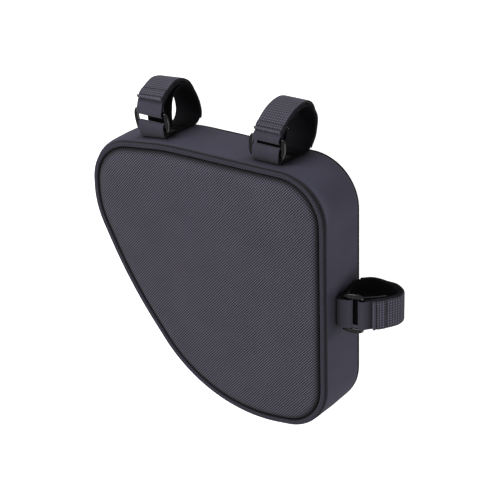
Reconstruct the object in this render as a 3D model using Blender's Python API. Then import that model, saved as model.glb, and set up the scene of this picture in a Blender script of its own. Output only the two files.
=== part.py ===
"""Bicycle frame bag, lying on its back panel.

X runs along the top tube edge, Y up the seat tube edge, Z from the back panel to the front.
The origin is the middle of the back panel's flat outer face. Lengths are in metres.
"""
import math
from collections import namedtuple

import bmesh
import bpy
from mathutils import Vector

# Body
BODY_LENGTH = 0.2287
BODY_HEIGHT = 0.2270
GUSSET_DEPTH = 0.0513
FRONT_CROWN = 0.0050
BACK_CROWN = 0.0055
CROWN_RUN = 0.026
PANEL_WALL = 0.0022
GUSSET_WALL = 0.0020
CORNER_RISE = 0.0048
PIPING_WIDTH = 0.0055
PIPING_HEIGHT = 0.0017
PIPING_ROOT = 0.0010
GAP = 0.0003

# Straps
WEBBING_WIDTH = 0.025
BAND_WALL = 0.0014
LAP_WALL = 0.0016
LOOP_HEIGHT = 0.0445
FOOT_LENGTH = 0.009
TAPE_TUCK = 0.030
TAPE_JOIN = 0.006
LAP_CLEAR = 0.0032
LAP_EASE = 0.008
TAB_FOOT = 0.010
TAB_BEND = 0.0027

# Strap rings
RING_WIDTH = 0.0345
RING_HEIGHT = 0.0224
RING_OPENING = 0.026
RING_THICKNESS = 0.0026
BAR_HEIGHT = 0.0026
BAR_PITCH = 0.0108
RING_EDGE = 0.0007
BAR_CLEARANCE = 0.0004

# How finely curves are cut into straight steps
OUTLINE_STEP = 0.016
OUTLINE_TURN = math.radians(13)
RIBBON_STEP = 0.0036
FOLD_STEPS = 7

# Corners of the outline from the top right one, leftwards: places are shares of BODY_LENGTH and
# BODY_HEIGHT, the fillet radius is a share of BODY_HEIGHT.
Corner = namedtuple("Corner", "name along up radius")
CORNERS = [
    Corner("top_right", 0.0, 0.0, 0.183),
    Corner("top_bend", -0.667, 0.0, 1.057),
    Corner("top_left", -1.0, -0.042, 0.185),
    Corner("nose", -1.0, -0.309, 0.330),
    Corner("belly", -0.859, -0.597, 1.630),
    Corner("bottom_left", -0.519, -1.036, 0.555),
    Corner("bottom_right", 0.0, -0.972, 0.184),
]

# Crown of a panel: run in from the seam as a share of CROWN_RUN, rise as a share of the crown.
Crown = namedtuple("Crown", "run rise")
CROWN = [
    Crown(0.0, -0.04),
    Crown(0.08, 0.34),
    Crown(0.22, 0.60),
    Crown(0.42, 0.79),
    Crown(0.68, 0.93),
    Crown(1.0, 1.0),
]

# Section of a piping: out from its inner seam as a share of PIPING_WIDTH, and rise over the
# seam plane as a share of PIPING_HEIGHT. The root closes it behind.
Bead = namedtuple("Bead", "out rise")
PIPING = [Bead(0.0, 0.06), Bead(0.20, 0.78), Bead(0.50, 1.0), Bead(0.80, 0.64), Bead(1.0, -0.18)]

# How full the gusset stands between its two seams, by share of GUSSET_DEPTH.
Fullness = namedtuple("Fullness", "depth fullness")
GUSSET_ROWS = [
    Fullness(0.0, 0.0),
    Fullness(0.06, 0.55),
    Fullness(0.16, 0.90),
    Fullness(0.40, 1.0),
    Fullness(0.62, 0.93),
    Fullness(0.82, 0.72),
    Fullness(0.94, 0.35),
    Fullness(1.0, 0.0),
]

# The puffed corners: distance clockwise along the outline from a corner's middle, as a share
# of BODY_LENGTH, and the rise there as a share of CORNER_RISE.
Puff = namedtuple("Puff", "along rise")
PUFFS = {
    "top_left": [
        Puff(-0.60, 0.0), Puff(-0.30, 0.25), Puff(-0.12, 0.65), Puff(0.0, 0.65), Puff(0.10, 0.0),
        Puff(0.16, 0.36), Puff(0.29, 0.50), Puff(0.40, 0.0),
    ],
    "top_right": [
        Puff(-0.10, 0.0), Puff(-0.03, 0.55), Puff(0.04, 0.95), Puff(0.10, 0.55), Puff(0.18, 0.0),
    ],
}

# Straps: centre is a share of BODY_LENGTH on the top edge and of BODY_HEIGHT on the right one,
# skew is drift along the edge for each metre of depth past the ring, bar_depth is a share of
# GUSSET_DEPTH and bar_height of LOOP_HEIGHT for the ring's lower bar, root is a share of
# GUSSET_DEPTH, and the stretches of lap are shares of LOOP_HEIGHT along the band from the ring
# and from the root.
Strap = namedtuple("Strap", "name side centre skew bar_depth bar_height lean root lap_from lap_to")
STRAPS = [
    Strap("top_left", "top", -0.735, 0.04, 0.156, 0.234, 0.0, 0.90, 0.26, 0.16),
    Strap("top_right", "top", -0.262, 0.16, 0.218, 0.202, 4.0, 0.82, 0.16, 0.12),
    Strap("side", "right", -0.515, 0.17, 0.355, 0.229, 11.5, 0.82, 0.20, 0.12),
]

# Course of each strap's inner layer from its root over the loop to the ring, at mid wall:
# shares of GUSSET_DEPTH from the front seam and of LOOP_HEIGHT off the gusset.
Course = namedtuple("Course", "depth height")
COURSES = {
    "top_left": [
        Course(0.988, 0.061), Course(1.040, 0.153), Course(1.053, 0.281), Course(1.026, 0.461),
        Course(0.935, 0.680), Course(0.790, 0.826), Course(0.600, 0.876), Course(0.420, 0.806),
        Course(0.285, 0.712), Course(0.200, 0.620),
    ],
    "top_right": [
        Course(0.877, 0.050), Course(0.945, 0.171), Course(0.998, 0.274), Course(1.031, 0.427),
        Course(1.047, 0.580), Course(1.012, 0.700), Course(0.926, 0.850), Course(0.791, 0.894),
        Course(0.624, 0.845), Course(0.487, 0.745), Course(0.374, 0.620), Course(0.302, 0.528),
    ],
    "side": [
        Course(0.877, 0.052), Course(0.949, 0.169), Course(0.992, 0.265), Course(1.006, 0.404),
        Course(0.986, 0.600), Course(0.943, 0.785), Course(0.867, 0.915), Course(0.786, 0.926),
        Course(0.721, 0.880), Course(0.628, 0.775), Course(0.538, 0.643), Course(0.446, 0.517),
    ],
}

# Ring end from its inner lower corner round to the inner upper one: out as a share of the
# end's width, and height as a share of half the ring's height.
End = namedtuple("End", "out height")
RING_END = [
    End(0.10, -0.88), End(0.45, -1.0), End(0.78, -0.80), End(1.0, -0.34),
    End(1.0, 0.34), End(0.78, 0.80), End(0.45, 1.0), End(0.10, 0.88),
]

FRONT_SEAM = BACK_CROWN + GUSSET_DEPTH
SEAM_MARGIN = PIPING_ROOT + GAP
SOLE = GAP + BAND_WALL / 2
LAYER = BAND_WALL + GAP
BAR_TURN = BAR_HEIGHT / 2 + BAR_CLEARANCE + BAND_WALL / 2

# Colours are linear.
TWILL = ("ballistic_twill", (0.055, 0.053, 0.068), 0.80, 0.0)
COATED = ("coated_nylon", (0.046, 0.045, 0.056), 0.55, 0.0)
BINDING = ("piping_twill", (0.052, 0.050, 0.062), 0.75, 0.0)
TAPE = ("hook_and_loop_tape", (0.050, 0.048, 0.060), 0.85, 0.0)
WEBBING = ("ribbed_webbing", (0.066, 0.064, 0.080), 0.80, 0.0)
ACETAL = ("moulded_acetal", (0.012, 0.012, 0.013), 0.35, 0.0)


def clear_scene():
    for item in list(bpy.data.objects):
        bpy.data.objects.remove(item, do_unlink=True)


def material(finish):
    name, colour, roughness, metallic = finish
    found = bpy.data.materials.get(name)
    if found:
        return found
    made = bpy.data.materials.new(name)
    made.use_nodes = True
    shader = made.node_tree.nodes["Principled BSDF"]
    shader.inputs["Base Color"].default_value = (*colour, 1.0)
    shader.inputs["Roughness"].default_value = roughness
    shader.inputs["Metallic"].default_value = metallic
    return made


def finish_object(name, edit, finish):
    mesh = bpy.data.meshes.new(name)
    edit.to_mesh(mesh)
    edit.free()
    mesh.materials.append(material(finish))
    made = bpy.data.objects.new(name, mesh)
    bpy.context.collection.objects.link(made)
    return made


def finish_sheet(name, edit, finish, outside):
    """An open sheet; outside tells from a face's middle which way that face looks."""
    bmesh.ops.recalc_face_normals(edit, faces=edit.faces)
    largest = max(edit.faces, key=lambda face: face.calc_area())
    if largest.normal.dot(outside(largest.calc_center_median())) < 0:
        bmesh.ops.reverse_faces(edit, faces=edit.faces)
    return finish_object(name, edit, finish)


def thicken(made, wall, offset):
    """Give a sheet its wall: offset -1 lays it inside the sheet, 0 on both sides."""
    solid = made.modifiers.new("wall", "SOLIDIFY")
    solid.thickness = wall
    solid.offset = offset
    solid.use_even_offset = True
    solid.use_quality_normals = True


def between(table, value):
    """Second column of a two-column table at a value of its first column."""
    if value <= table[0][0]:
        return table[0][1]
    for low, high in zip(table, table[1:]):
        if value <= high[0]:
            share = (value - low[0]) / (high[0] - low[0])
            return low[1] + share * (high[1] - low[1])
    return table[-1][1]


def corner_points():
    places = [Vector((c.along * BODY_LENGTH, c.up * BODY_HEIGHT)) for c in CORNERS]
    return [place + Vector((BODY_LENGTH / 2, BODY_HEIGHT / 2)) for place in places]


def fillets(places):
    """Tangent length and turn of each corner, kept short enough for its two edges."""
    count = len(places)
    turns = []
    tangents = []
    for index, place in enumerate(places):
        arriving = (place - places[index - 1]).normalized()
        leaving = (places[(index + 1) % count] - place).normalized()
        turn = arriving.angle(leaving)
        turns.append(turn)
        tangents.append(CORNERS[index].radius * BODY_HEIGHT * math.tan(turn / 2))
    limited = []
    for index, place in enumerate(places):
        room = 1.0
        for other in (index - 1, (index + 1) % count):
            edge = (places[other] - place).length
            room = min(room, 0.98 * edge / (tangents[index] + tangents[other]))
        limited.append(tangents[index] * room)
    return turns, limited


def outline():
    """Outer seam as (point, outward normal) pairs, from the top right corner leftwards.

    The second value gives the place in that list of each named corner's middle.
    """
    places = corner_points()
    turns, tangents = fillets(places)
    count = len(places)
    seam = []
    middles = {}
    for index, place in enumerate(places):
        arriving = (place - places[index - 1]).normalized()
        leaving = (places[(index + 1) % count] - place).normalized()
        start = place - arriving * tangents[index]
        radius = tangents[index] / math.tan(turns[index] / 2)
        outward = Vector((arriving.y, -arriving.x))
        centre = start - outward * radius
        steps = math.ceil(max(turns[index] / OUTLINE_TURN, radius * turns[index] / OUTLINE_STEP))
        middles[CORNERS[index].name] = len(seam) + steps // 2
        for step in range(steps + 1):
            angle = turns[index] * step / steps
            normal = outward * math.cos(angle) + arriving * math.sin(angle)
            seam.append((centre + normal * radius, normal))
        finish = seam[-1][0]
        following = places[(index + 1) % count] - leaving * tangents[(index + 1) % count]
        pieces = math.ceil((following - finish).length / OUTLINE_STEP)
        normal = seam[-1][1]
        for piece in range(1, pieces):
            seam.append((finish.lerp(following, piece / pieces), normal))
    return seam, middles


def puff_heights(seam, middles):
    """Rise of the gusset at each point of the seam, in metres."""
    heights = []
    for index in range(len(seam)):
        rise = 0.0
        for corner, puff in PUFFS.items():
            forward = walk(seam, middles[corner], index, 1)
            backward = walk(seam, middles[corner], index, -1)
            along = -forward if forward < backward else backward
            rise = max(rise, between(puff, along / BODY_LENGTH))
        heights.append(rise * CORNER_RISE)
    return heights


def walk(seam, start, goal, direction):
    count = len(seam)
    length = 0.0
    index = start
    while index != goal:
        following = (index + direction) % count
        length += (seam[following][0] - seam[index][0]).length
        index = following
    return length


def raise_seam(seam, heights, fullness):
    return [(point + normal * height * fullness, normal)
            for (point, normal), height in zip(seam, heights)]


def level(edit, seam, inset, height):
    """A closed row of vertices round the seam, moved in by inset."""
    return [edit.verts.new((*(point - normal * inset), height)) for point, normal in seam]


def join_rows(edit, lower, upper):
    count = len(lower)
    for index in range(count):
        following = (index + 1) % count
        edit.faces.new((lower[index], lower[following], upper[following], upper[index]))


def panel(name, seam, seam_height, crown, facing):
    """A crowned panel that is flat in the middle; facing is 1 for the front, -1 for the back."""
    edit = bmesh.new()
    rows = []
    for station in CROWN:
        inset = PIPING_WIDTH + GAP + station.run * CROWN_RUN
        rows.append(level(edit, seam, inset, seam_height + facing * station.rise * crown))
    for lower, upper in zip(rows, rows[1:]):
        join_rows(edit, lower, upper)
    edit.faces.new(rows[-1])
    made = finish_sheet(name, edit, TWILL, lambda middle: Vector((0, 0, facing)))
    thicken(made, PANEL_WALL, -1.0)


def piping(name, seam, seam_height, facing):
    """The bound edge between a panel and the gusset, one closed bead round the bag."""
    edit = bmesh.new()
    rows = []
    for bead in PIPING:
        inset = PIPING_WIDTH * (1 - bead.out)
        rows.append(level(edit, seam, inset, seam_height + facing * bead.rise * PIPING_HEIGHT))
    root = seam_height - facing * PIPING_ROOT
    rows.append(level(edit, seam, 0.0, root))
    rows.append(level(edit, seam, GUSSET_WALL, root))
    rows.append(level(edit, seam, PIPING_WIDTH, root - facing * PIPING_ROOT))
    for lower, upper in zip(rows, rows[1:] + rows[:1]):
        join_rows(edit, lower, upper)
    bmesh.ops.recalc_face_normals(edit, faces=edit.faces)
    finish_object(name, edit, BINDING)


def gusset(seam, heights):
    """The side wall, which runs right round the bag between the two pipings."""
    edit = bmesh.new()
    rows = []
    for row in GUSSET_ROWS:
        depth = SEAM_MARGIN + row.depth * (GUSSET_DEPTH - 2 * SEAM_MARGIN)
        raised = raise_seam(seam, heights, row.fullness)
        rows.append(level(edit, raised, 0.0, FRONT_SEAM - depth))
    for lower, upper in zip(rows, rows[1:]):
        join_rows(edit, lower, upper)
    made = finish_sheet("gusset", edit, COATED, lambda middle: Vector((middle.x, middle.y, 0)))
    thicken(made, GUSSET_WALL, -1.0)


class Seat:
    """Where a strap is sewn: a straight line on the gusset, just clear of its facets."""

    def __init__(self, strap, seam, heights):
        self.skew = strap.skew
        self.straight_to = bars(strap)[1].x + BAR_HEIGHT + BAND_WALL
        if strap.side == "top":
            self.along = Vector((1, 0))
            place = BODY_LENGTH * (0.5 + strap.centre)
        else:
            self.along = Vector((0, 1))
            place = BODY_HEIGHT * (0.5 + strap.centre)
        outward = Vector((0, 1)) if strap.side == "top" else Vector((1, 0))
        crest = raise_seam(seam, heights, 1.0)
        ends = [edge_point(crest, heights, self.along, outward, place + side * WEBBING_WIDTH / 2)
                for side in (-1, 1)]
        (left, left_rise), (right, right_rise) = ends
        self.along = (right - left).normalized()
        self.outward = Vector((-self.along.y, self.along.x))
        if self.outward.dot(outward) < 0:
            self.outward.negate()
        self.middle = (left + right) / 2
        self.rise = min(left_rise, right_rise)
        spare = 0.0
        for (point, normal), height in zip(crest, heights):
            reach = point - self.middle
            if abs(reach.dot(self.along)) < WEBBING_WIDTH / 2 and normal.dot(outward) > 0.5:
                spare = max(spare, reach.dot(self.outward))
                self.rise = min(self.rise, height)
        self.middle = self.middle + self.outward * spare

    def foot(self, depth):
        """Drop of the gusset under the seat line at a depth."""
        share = (depth - SEAM_MARGIN) / (GUSSET_DEPTH - 2 * SEAM_MARGIN)
        return self.rise * (between(GUSSET_ROWS, share) - 1)

    def place(self, along, depth, height):
        drift = self.skew * max(depth - self.straight_to, 0.0)
        flat = self.middle + self.along * (along + drift) + self.outward * height
        return (flat.x, flat.y, FRONT_SEAM - depth)


def edge_point(seam, heights, along, outward, place):
    """Point of the outer seam at a place along one edge, and the gusset's rise there."""
    best = None
    count = len(seam)
    for index in range(count):
        here, there = seam[index][0], seam[(index + 1) % count][0]
        low, high = sorted((here.dot(along), there.dot(along)))
        if low <= place <= high and high - low > 1e-9:
            share = (place - here.dot(along)) / (there.dot(along) - here.dot(along))
            point = here.lerp(there, share)
            rise = heights[index] + share * (heights[(index + 1) % count] - heights[index])
            if best is None or point.dot(outward) > best[0].dot(outward):
                best = (point, rise)
    return best


def smooth(points, step):
    """Points about a step apart on a smooth curve through the given ones."""
    ends = [2 * points[0] - points[1]] + points + [2 * points[-1] - points[-2]]
    curve = [points[0]]
    for index in range(1, len(ends) - 2):
        before, start, stop, after = ends[index - 1:index + 3]
        pieces = max(1, round((stop - start).length / step))
        for piece in range(1, pieces + 1):
            t = piece / pieces
            bend = (2 * before - 5 * start + 4 * stop - after) * t * t
            turn = (3 * start - before - 3 * stop + after) * t * t * t
            curve.append(0.5 * (2 * start + (stop - before) * t + bend + turn))
    return curve


def fold(bar, first, last):
    """Arc of a ribbon round a bar, from one angle to another, in degrees."""
    arc = []
    for step in range(FOLD_STEPS + 1):
        angle = math.radians(first + (last - first) * step / FOLD_STEPS)
        arc.append(bar + BAR_TURN * Vector((math.cos(angle), math.sin(angle))))
    return arc


def touch(bar, goal, side):
    """Angle in degrees where a ribbon to the goal leaves its fold round a bar."""
    reach = goal - bar
    spread = math.acos(min(BAR_TURN / reach.length, 1.0))
    return math.degrees(math.atan2(reach.y, reach.x) + side * spread)


def lengths_from_end(line):
    """Distance of each point of a line from its last point."""
    distances = [0.0]
    for here, there in zip(reversed(line), reversed(line[:-1])):
        distances.append(distances[-1] + (here - there).length)
    return list(reversed(distances))


def beside(line, index, offset):
    """A point of the line moved outwards from the loop."""
    ahead = line[min(index + 1, len(line) - 1)]
    behind = line[max(index - 1, 0)]
    travel = (ahead - behind).normalized()
    return line[index] + offset * Vector((travel.y, -travel.x))


def ribbon(name, seat, line, wall, finish):
    """Webbing of one width that follows a line of (depth, height) points."""
    edit = bmesh.new()
    start = [edit.verts.new(seat.place(-WEBBING_WIDTH / 2, p.x, p.y)) for p in line]
    end = [edit.verts.new(seat.place(WEBBING_WIDTH / 2, p.x, p.y)) for p in line]
    for index in range(len(line) - 1):
        edit.faces.new((start[index], start[index + 1], end[index + 1], end[index]))
    thicken(finish_object(name, edit, finish), wall, 0.0)


def bars(strap):
    """Centres of the ring's lower and upper bars, as (depth, height)."""
    lean = math.radians(strap.lean)
    lower = Vector((strap.bar_depth * GUSSET_DEPTH, strap.bar_height * LOOP_HEIGHT))
    return lower, lower + BAR_PITCH * Vector((math.sin(lean), math.cos(lean)))


def band_lines(strap, seat):
    """The inner layer's course, the whole band's line and the tape's share of the course."""
    upper = bars(strap)[1]
    foot = []
    for share in (1.0, 0.5, 0.0):
        depth = strap.root * GUSSET_DEPTH - share * FOOT_LENGTH
        foot.append(Vector((depth, SOLE + seat.foot(depth))))
    rows = [Vector((c.depth * GUSSET_DEPTH, c.height * LOOP_HEIGHT)) for c in COURSES[strap.name]]
    arrive = touch(upper, rows[-1], -1)
    course = smooth(foot + rows + fold(upper, arrive, arrive)[:1], RIBBON_STEP)
    left = lengths_from_end(course)
    reach = strap.lap_from * LOOP_HEIGHT + TAPE_TUCK
    tape = [
        beside(course, index, LAYER)
        for index in reversed(range(len(course)))
        if TAPE_JOIN <= left[index] <= reach
    ]
    leave = touch(upper, tape[0], 1) - 360
    return course, left, course[:-1] + fold(upper, arrive, leave) + tape


def lap_line(strap, course, left):
    """Line of the ribbed webbing that lies over the tape and the band."""
    start = strap.lap_from * LOOP_HEIGHT
    stop = left[0] - FOOT_LENGTH - strap.lap_to * LOOP_HEIGHT
    line = []
    for index in reversed(range(len(course))):
        if start <= left[index] <= stop:
            past_tape = left[index] - start - TAPE_TUCK - LAP_CLEAR
            over_tape = 1 - min(max(past_tape / LAP_EASE, 0.0), 1.0)
            layers = GAP + over_tape * LAYER
            line.append(beside(course, index, BAND_WALL / 2 + layers + LAP_WALL / 2))
    return line


def tab_line(strap, seat):
    """The sewn tab: two flat legs on the gusset and a fold round the ring's lower bar."""
    lower = bars(strap)[0]
    behind = lower.x + BAR_TURN
    heel = behind + TAB_FOOT
    lean = math.tan(math.radians(strap.lean)) * (lower.y - SOLE)
    front = lower.x - BAR_TURN - lean
    inner_leg = [
        Vector((heel, SOLE + LAYER + seat.foot(heel))),
        Vector((behind + LAYER, SOLE + LAYER + seat.foot(lower.x))),
        Vector((behind, SOLE + LAYER + TAB_BEND)),
    ]
    outer_leg = [
        Vector((front, SOLE + TAB_BEND)),
        Vector((front + TAB_BEND / 3, SOLE + TAB_BEND / 3 + seat.foot(front))),
        Vector((front + TAB_BEND, SOLE + seat.foot(front + TAB_BEND))),
        Vector((heel, SOLE + seat.foot(heel))),
    ]
    return inner_leg + fold(lower, 0, 180) + outer_leg


def ring(name, seat, strap):
    """Flat ring with two bars, lens-shaped ends and one opening."""
    lower, upper = bars(strap)
    centre = (lower + upper) / 2
    upright = (upper - lower).normalized()
    across = Vector((upright.y, -upright.x))
    inner = RING_OPENING / 2
    end = RING_WIDTH / 2 - inner
    bar_outer = (BAR_PITCH + BAR_HEIGHT) / 2
    bar_inner = (BAR_PITCH - BAR_HEIGHT) / 2
    right = [(inner, -bar_outer)]
    right += [(inner + e.out * end, e.height * RING_HEIGHT / 2) for e in RING_END]
    right += [(inner, bar_outer)]
    left = [(-along, -height) for along, height in right]
    opening = [(inner, -bar_inner), (inner, bar_inner), (-inner, bar_inner), (-inner, -bar_inner)]

    def position(along, height, depth):
        spot = centre + upright * height + across * depth
        return seat.place(along, spot.x, spot.y)

    edit = bmesh.new()
    for loop in (right + left, opening):
        corners = [edit.verts.new(position(*spot, -RING_THICKNESS / 2)) for spot in loop]
        for index, corner in enumerate(corners):
            edit.edges.new((corner, corners[(index + 1) % len(corners)]))
    bmesh.ops.triangle_fill(edit, use_beauty=True, use_dissolve=False, edges=edit.edges)
    made = bmesh.ops.extrude_face_region(edit, geom=list(edit.faces))
    moved = [item for item in made["geom"] if isinstance(item, bmesh.types.BMVert)]
    start = Vector(position(0, 0, -RING_THICKNESS / 2))
    stop = Vector(position(0, 0, RING_THICKNESS / 2))
    bmesh.ops.translate(edit, verts=moved, vec=stop - start)
    bmesh.ops.recalc_face_normals(edit, faces=edit.faces)
    rims = [edge for edge in edit.edges if edge.calc_face_angle() > math.radians(60)
            and abs((edge.verts[0].co - edge.verts[1].co).normalized().dot(
                (stop - start).normalized())) < 0.5]
    bmesh.ops.bevel(edit, geom=rims, offset=RING_EDGE, segments=1, profile=0.5,
                    affect="EDGES", material=-1)
    bmesh.ops.recalc_face_normals(edit, faces=edit.faces)
    finish_object(name, edit, ACETAL)


def strap_set(strap, seam, heights):
    seat = Seat(strap, seam, heights)
    course, left, band = band_lines(strap, seat)
    ribbon(strap.name + "_tab", seat, tab_line(strap, seat), BAND_WALL, TAPE)
    ring(strap.name + "_ring", seat, strap)
    ribbon(strap.name + "_band", seat, band, BAND_WALL, TAPE)
    ribbon(strap.name + "_lap", seat, lap_line(strap, course, left), LAP_WALL, WEBBING)


def build():
    clear_scene()
    seam, middles = outline()
    heights = puff_heights(seam, middles)
    panel("front_panel", seam, FRONT_SEAM, FRONT_CROWN, 1)
    panel("back_panel", seam, BACK_CROWN, BACK_CROWN, -1)
    piping("front_piping", seam, FRONT_SEAM, 1)
    piping("back_piping", seam, BACK_CROWN, -1)
    gusset(seam, heights)
    for strap in STRAPS:
        strap_set(strap, seam, heights)


build()
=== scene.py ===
"""Looks of the bicycle frame bag, which lies on its back panel.

X runs along the top tube edge, Y up the seat tube edge, Z from the back panel to the front.
Lengths are in metres. Tables hold shares of the named sizes, as the part's own source does.
"""
from collections import namedtuple
from math import acos, atan2, ceil, cos, degrees, pi, radians, sin, sqrt, tan

import bmesh
import bpy
from mathutils import Matrix, Vector, noise


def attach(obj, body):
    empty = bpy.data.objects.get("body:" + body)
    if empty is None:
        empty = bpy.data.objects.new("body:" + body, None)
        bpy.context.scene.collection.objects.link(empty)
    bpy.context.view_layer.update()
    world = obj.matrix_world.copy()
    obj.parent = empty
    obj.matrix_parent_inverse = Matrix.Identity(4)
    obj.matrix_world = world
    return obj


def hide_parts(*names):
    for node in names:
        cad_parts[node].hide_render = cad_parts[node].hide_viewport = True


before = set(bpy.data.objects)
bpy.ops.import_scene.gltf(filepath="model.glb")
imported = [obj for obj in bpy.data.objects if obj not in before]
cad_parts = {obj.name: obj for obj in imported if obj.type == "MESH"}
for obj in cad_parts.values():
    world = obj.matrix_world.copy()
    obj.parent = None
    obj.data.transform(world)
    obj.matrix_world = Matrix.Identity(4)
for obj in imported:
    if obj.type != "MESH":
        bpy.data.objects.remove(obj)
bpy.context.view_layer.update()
Knot = namedtuple("Knot", "at value")


def listed(kind, *rows):
    """Table rows of one kind."""
    return [kind(*row) for row in rows]


def graph(*rows):
    """A two-column table: places, and a value at each."""
    return listed(Knot, *rows)


# Body
BODY_LENGTH = 0.2287
BODY_HEIGHT = 0.2270
GUSSET_DEPTH = 0.0513
FRONT_CROWN = 0.0050
BACK_CROWN = 0.0055
CROWN_RUN = 0.026
PANEL_WALL = 0.0022
GUSSET_WALL = 0.0020
CORNER_RISE = 0.0048
PIPING_WIDTH = 0.0055
PIPING_HEIGHT = 0.0017
PIPING_ROOT = 0.0010
GAP = 0.0003
FRONT_SEAM = BACK_CROWN + GUSSET_DEPTH
SEAM_MARGIN = PIPING_ROOT + GAP

# Straps
WEBBING_WIDTH = 0.025
BAND_WALL = 0.0014
LAP_WALL = 0.0016
LOOP_HEIGHT = 0.0445
FOOT_LENGTH = 0.009
TAPE_TUCK = 0.030
TAPE_JOIN = 0.006
LAP_CLEAR = 0.0032
LAP_EASE = 0.008
TAB_FOOT = 0.010
TAB_BEND = 0.0027
SOLE = GAP + BAND_WALL / 2
LAYER = BAND_WALL + GAP

# Strap rings
RING_WIDTH = 0.0345
RING_HEIGHT = 0.0180
RING_OPENING = 0.026
RING_THICKNESS = 0.0026
BAR_HEIGHT = 0.0026
BAR_PITCH = 0.0108
RING_EDGE = 0.00122
RING_STEP = 0.0009
RING_RIM = radians(60)
RING_SHARP = radians(40)
BAR_TURN = BAR_HEIGHT / 2 + 0.0004 + BAND_WALL / 2

# The part cuts its curves into coarse steps, on which the straps are seated. The looks use
# fine ones. Two corners' arcs take at most CORNER_ROOM of the edge between them.
CORNER_ROOM = 0.98
COARSE_STEP = 0.016
COARSE_TURN = radians(13)
FINE_STEP = 0.0022
FINE_TURN = radians(3)
RIBBON_STEP = 0.0006
FOLD_STEPS = 18
WELD = 1e-6

Corner = namedtuple("Corner", "name along up radius")
CORNERS = listed(
    Corner, ("top_right", 0.0, 0.0, 0.183), ("top_bend", -0.667, 0.0, 1.057),
    ("top_left", -1.0, -0.042, 0.185), ("nose", -1.0, -0.309, 0.330),
    ("belly", -0.859, -0.597, 1.630), ("bottom_left", -0.519, -1.036, 0.555),
    ("bottom_right", 0.0, -0.972, 0.184),
)

# Crown of a panel: run in from the seam as a share of CROWN_RUN, rise as a share of the crown.
CROWN = graph(
    (0.0, -0.30), (0.03, 0.06), (0.09, 0.33), (0.22, 0.60), (0.42, 0.79), (0.68, 0.93),
    (1.0, 1.0),
)

# Section of a piping: out from its inner seam as a share of PIPING_WIDTH, rise over the seam
# plane as a share of PIPING_HEIGHT. Two soft ridges run along it.
PIPING = graph(
    (0.0, -0.55), (0.04, 0.0), (0.11, 0.55), (0.22, 0.90), (0.34, 1.04), (0.48, 0.95),
    (0.62, 1.0), (0.76, 0.78), (0.88, 0.35), (0.95, -0.10), (0.97, -0.52),
)

# How full the gusset stands between its two seams, by share of GUSSET_DEPTH.
GUSSET_ROWS = graph(
    (0.0, 0.0), (0.06, 0.55), (0.16, 0.90), (0.40, 1.0), (0.62, 0.93), (0.82, 0.72),
    (0.94, 0.35), (1.0, 0.0),
)

# The gusset turns in at its two seams: share of GUSSET_DEPTH from the nearer seam, and how far
# in it lies as a share of GROOVE_DEPTH.
GROOVE_DEPTH = 0.0011
GUSSET_EDGE = graph((0.0, 1.0), (0.012, 0.55), (0.035, 0.12), (0.07, 0.0))

# The puffed corners: distance clockwise along the outline from a corner's middle, as a share
# of BODY_LENGTH, and the rise there as a share of CORNER_RISE.
PUFFS = {
    "top_left": graph(
        (-0.60, 0.0), (-0.30, 0.25), (-0.12, 0.65), (0.0, 0.65), (0.10, 0.0), (0.16, 0.36),
        (0.29, 0.50), (0.40, 0.0),
    ),
    "top_right": graph((-0.10, 0.0), (-0.03, 0.55), (0.04, 0.95), (0.10, 0.55), (0.18, 0.0)),
}

# Straps: centre is a share of BODY_LENGTH on the top edge and of BODY_HEIGHT on the right one,
# skew is drift along the edge for each metre of depth past the ring, bar_depth is a share of
# GUSSET_DEPTH and bar_height of LOOP_HEIGHT for the ring's lower bar, root is a share of
# GUSSET_DEPTH, and the stretches of lap are shares of LOOP_HEIGHT along the band from the ring
# and from the root.
Strap = namedtuple("Strap", "name side centre skew bar_depth bar_height lean root lap_from lap_to")
STRAPS = listed(
    Strap, ("top_left", "top", -0.735, 0.04, 0.156, 0.234, 0.0, 0.90, 0.26, 0.16),
    ("top_right", "top", -0.262, 0.16, 0.218, 0.202, 4.0, 0.82, 0.16, 0.12),
    ("side", "right", -0.515, 0.17, 0.355, 0.229, 11.5, 0.82, 0.20, 0.12),
)

# Course of each strap's inner layer from its root over the loop to the ring, at mid wall:
# shares of GUSSET_DEPTH from the front seam and of LOOP_HEIGHT off the gusset.
Course = namedtuple("Course", "depth height")
COURSES = {
    "top_left": listed(
        Course, (0.988, 0.061), (1.040, 0.153), (1.053, 0.281), (1.026, 0.461), (0.935, 0.680),
        (0.790, 0.826), (0.600, 0.876), (0.420, 0.806), (0.285, 0.712), (0.200, 0.620),
    ),
    "top_right": listed(
        Course, (0.877, 0.050), (0.945, 0.171), (0.998, 0.274), (1.031, 0.427), (1.047, 0.580),
        (1.012, 0.700), (0.926, 0.850), (0.791, 0.894), (0.624, 0.845), (0.487, 0.745),
        (0.374, 0.620), (0.302, 0.528),
    ),
    "side": listed(
        Course, (0.877, 0.052), (0.949, 0.169), (0.992, 0.265), (1.006, 0.404), (0.986, 0.600),
        (0.943, 0.785), (0.867, 0.915), (0.786, 0.926), (0.721, 0.880), (0.628, 0.775),
        (0.538, 0.643), (0.446, 0.517),
    ),
}

# The cut tail in which each inner layer ends, behind the ring and apart from the tape.
TAILS = {
    "top_left": listed(
        Course, (0.680, 0.832), (0.600, 0.812), (0.520, 0.765), (0.455, 0.700), (0.408, 0.600),
        (0.385, 0.510), (0.362, 0.420), (0.352, 0.320), (0.350, 0.170),
    ),
    "top_right": listed(
        Course, (0.660, 0.810), (0.530, 0.765), (0.438, 0.710), (0.405, 0.640), (0.392, 0.550),
        (0.375, 0.450), (0.330, 0.370), (0.308, 0.300), (0.302, 0.210),
    ),
    "side": listed(
        Course, (0.690, 0.780), (0.610, 0.650), (0.540, 0.520), (0.490, 0.400), (0.465, 0.280),
        (0.460, 0.170),
    ),
}

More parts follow.
